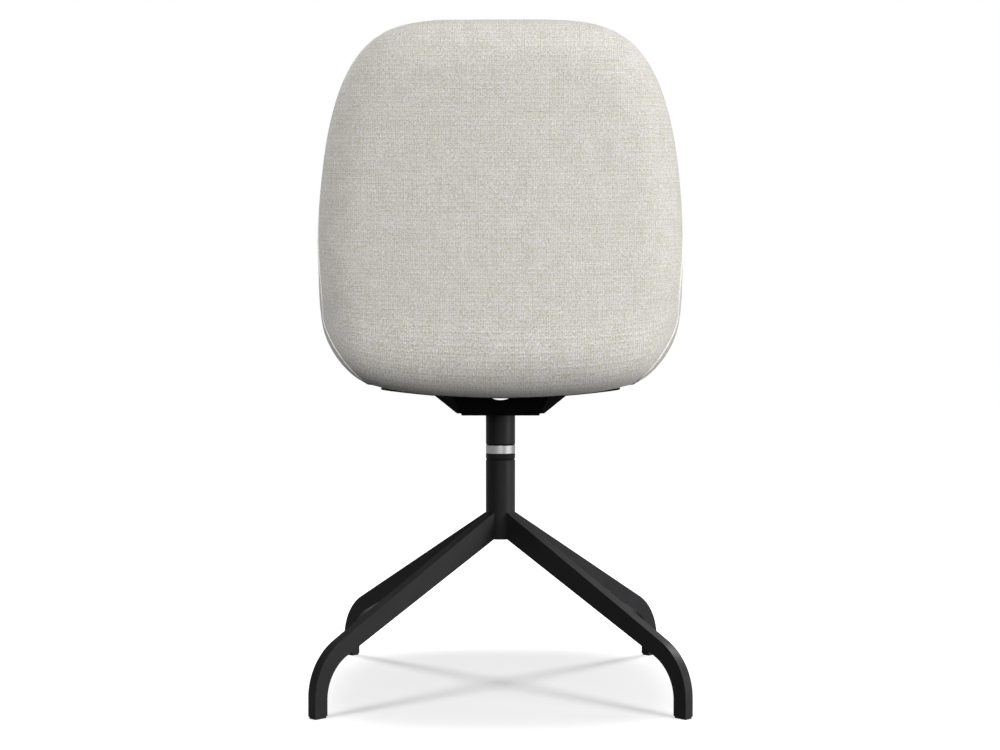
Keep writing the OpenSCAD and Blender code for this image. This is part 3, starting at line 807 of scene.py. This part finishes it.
fabric = woven_fabric("flecked_weave")
piping = piping_cloth("piping_cloth")
coat = powder_coat("black_powder_coat", linear(21, 21, 22), linear(25, 25, 26), 0.5, 0.04)
# The bracket's coat: black, and made darker still as painted shade under the seat
shade_darkened_coat = powder_coat("shade_darkened_powder_coat", linear(1, 1, 1), linear(4, 4, 4), 0.6, 0.015)
black_plastic = moulded_plastic("black_plastic", linear(18, 18, 19), 0.55, 0.07)
# The collar, with painted shade in the groove under it
collar_plastic = moulded_plastic("collar_plastic", linear(19, 19, 20), 0.55, 0.05, GROOVE_TOP)
# Black plastic made darker still for the spacer washer: painted shade in the gap between the ring
# and the sleeve
gap_shade_plastic = moulded_plastic("gap_shade_plastic", linear(3, 3, 3), 0.6, 0.02)
pale_plastic = moulded_plastic("pale_plastic", linear(222, 217, 205))
ring_steel = turned_steel("satin_steel", linear(125, 125, 125), 0.45)
bright_steel = turned_steel("bright_steel", linear(198, 199, 200), 0.25)
spring_steel = turned_steel("spring_steel", linear(110, 111, 115), 0.35)
screw_steel = turned_steel("blackened_steel", linear(70, 71, 74), 0.4)
plywood = moulded_plywood("moulded_plywood")

legs = [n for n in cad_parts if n.startswith("leg_")]
glides = [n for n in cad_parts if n.startswith("glide_")]
for node in legs:
    dress(node, coat, 0.6)
for node in glides:
    dress(node, black_plastic, 0.4)
for node in ("lower_tube", "upper_sleeve"):
    dress(node, coat, 0.5)
for node in ("lower_bush", "tube_end_cap"):
    dress(node, black_plastic, 0.3)
dress("upper_bush", collar_plastic, 0.3)
dress("spacer_washer", gap_shade_plastic, 0.2)
dress("thrust_washer", pale_plastic)
dress("swivel_ring", ring_steel, 0.4)
dress("spindle", bright_steel, 0.5)
dress("retaining_washer", bright_steel)
dress("tee_nuts", bright_steel)
dress("circlip", spring_steel)
dress("plate_screws", screw_steel, 0.3)
dress("seat_bracket", shade_darkened_coat, 1.0)
dress("seat_plate", coat, 0.4)
dress("shell_core", plywood)

cloth = [
    make_cover("rear_cover", -1, "rear_pad", fabric),
    make_cover("front_cover", 1, "front_pad", fabric),
    make_piping("edge_piping", piping),
]

# Floor, surroundings and lamps. A lamp has its place, aim, side and power, and the pieces that it
# lights if it doesn't light all

floor = make_floor(tone=0.5, bounce=0.04, glow=0.355)
make_world(level=0.13)
chair = cloth + cad_pieces(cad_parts)
cloth_and_ring = cloth + cad_pieces(["swivel_ring"])
black_pieces = cad_pieces([*legs, *glides, "lower_tube", "upper_sleeve"])
make_light("overhead", (0, 0.1, 2.8), (0, 0, 0.4), 1.6, 13)
make_light("high", (0, 2.8, 2.2), CHAIR_MIDDLE, 1.6, 11)
make_light("low", (0, 2.8, 1.15), CHAIR_MIDDLE, 1.2, 53, chair)
make_light("side", (-2.3, 1.5, 0.4), CHAIR_MIDDLE, 0.6, 26)
make_light("far_side", (-2.6, 0.4, 0.6), CHAIR_MIDDLE, 0.8, 24)
make_light("left", (2.5, 1.0, 1.8), (0, 0, 0.6), 1.0, 9, cloth_and_ring)
make_light("front", (0.6, -2.8, 1.8), CHAIR_MIDDLE, 1.6, 72, cloth)
make_light("front_left", (2.4, -1.6, 1.0), CHAIR_MIDDLE, 1.0, 26, cloth)
make_light("low_side", (-2.3, 1.1, 0.2), (0, 0, 0.2), 0.5, 76, black_pieces)
make_light("rim", (-2.0, -1.2, 1.8), (0, 0, 0.15), 0.5, 100, black_pieces)

# This lamp lights the floor, where only the legs, their glides and the closed tube shade it
above = make_light("above", (0, 0, 2.8), (0, 0, 0), 0.75, 57, [floor])
shading = cad_pieces([*legs, *glides, "lower_tube", "tube_end_cap"])
above.light_linking.blocker_collection = collect("shading", shading)
make_camera()

bpy.context.scene.view_settings.view_transform = "Standard"
